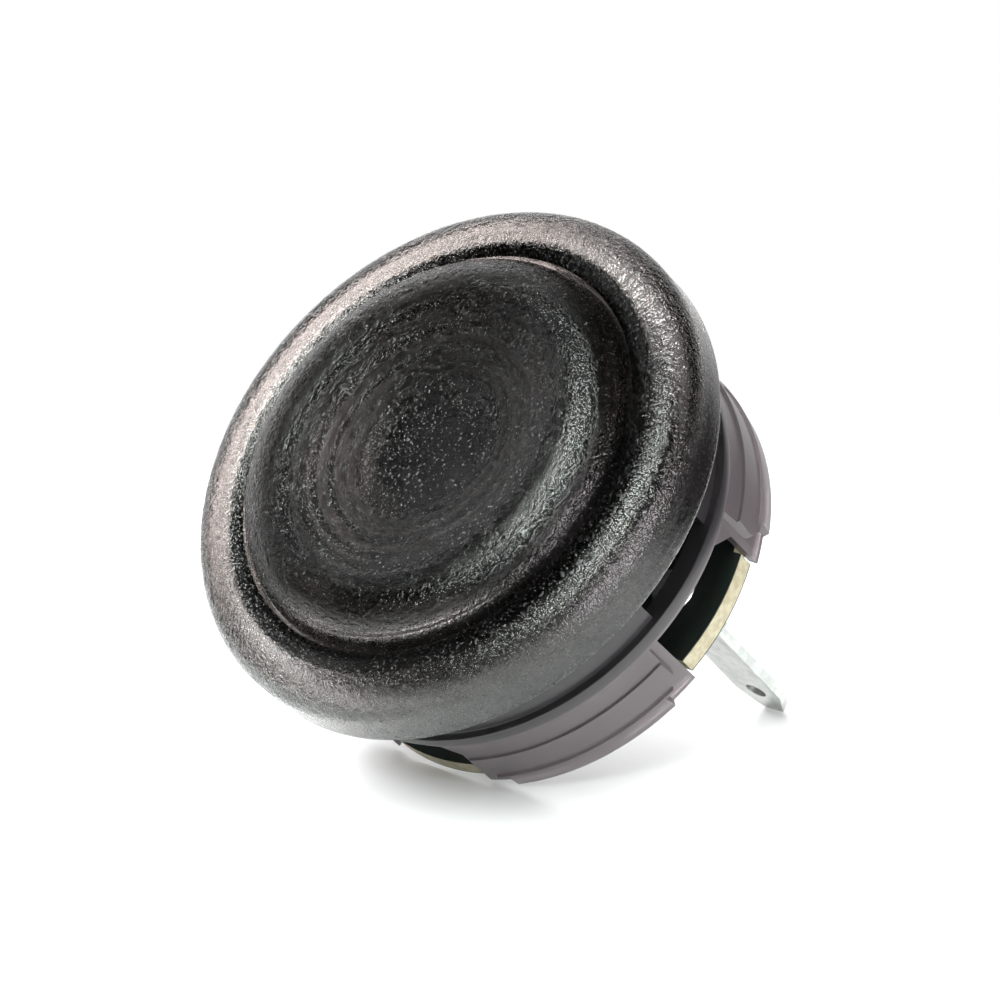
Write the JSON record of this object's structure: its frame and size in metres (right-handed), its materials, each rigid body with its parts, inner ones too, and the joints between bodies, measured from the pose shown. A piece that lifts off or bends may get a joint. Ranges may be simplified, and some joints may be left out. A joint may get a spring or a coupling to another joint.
{
  "type": "arcade push button",
  "caption": "Low-depth snap-in arcade button: a round dished plunger works a key switch on a round board with blade terminals.",
  "frame": {"origin": "on the button's axis, in the plane where the rim seats on the panel", "axes": "+Z along the button's axis and out of the plunger, away from the panel; the terminals stand off the axis along -Y and +Y"},
  "size_m": [0.027, 0.027, 0.0237],
  "materials": {
    "smoke_plastic": "smoke-grey translucent plastic, leather-grained on top and satin elsewhere",
    "smoke_plastic_dark": "smoke-black translucent plastic, fine-grained",
    "fibreglass_board": "bare fibreglass edge, dark solder mask underneath",
    "black_plastic": "matt black",
    "dark_plastic": "smooth",
    "stem_plastic": "smooth, dark grey",
    "spring_steel": "drawn wire",
    "contact_alloy": "rolled strip",
    "contact_tip": "gold-plated",
    "tinned_brass": "tin-plated brass, satin",
    "solder": "bright solder"
  },
  "bodies": {
    "base": {"housing": "smoke_plastic", "circuit_board": "fibreglass_board", "switch_base": "black_plastic", "switch_cover": "dark_plastic", "switch_spring": "spring_steel", "moving_contact": "contact_alloy", "moving_contact_tip": "contact_tip", "fixed_contact": "contact_alloy", "fixed_contact_tip": "contact_tip", "terminal_front": "tinned_brass", "terminal_back": "tinned_brass", "terminal_solder_front": "solder", "terminal_solder_back": "solder", "pin_solder_fixed": "solder", "pin_solder_moving": "solder"},
    "button": {"plunger": "smoke_plastic_dark", "switch_stem": "stem_plastic"}
  },
  "joints": [
    {"name": "press", "type": "slide", "parent": "base", "child": "button", "axis": [0, 0, 1], "range_m": [-0.0025, 0], "stiffness_N_per_m": 150, "springref_m": 0.004, "deforming": ["switch_spring"]}
  ]
}
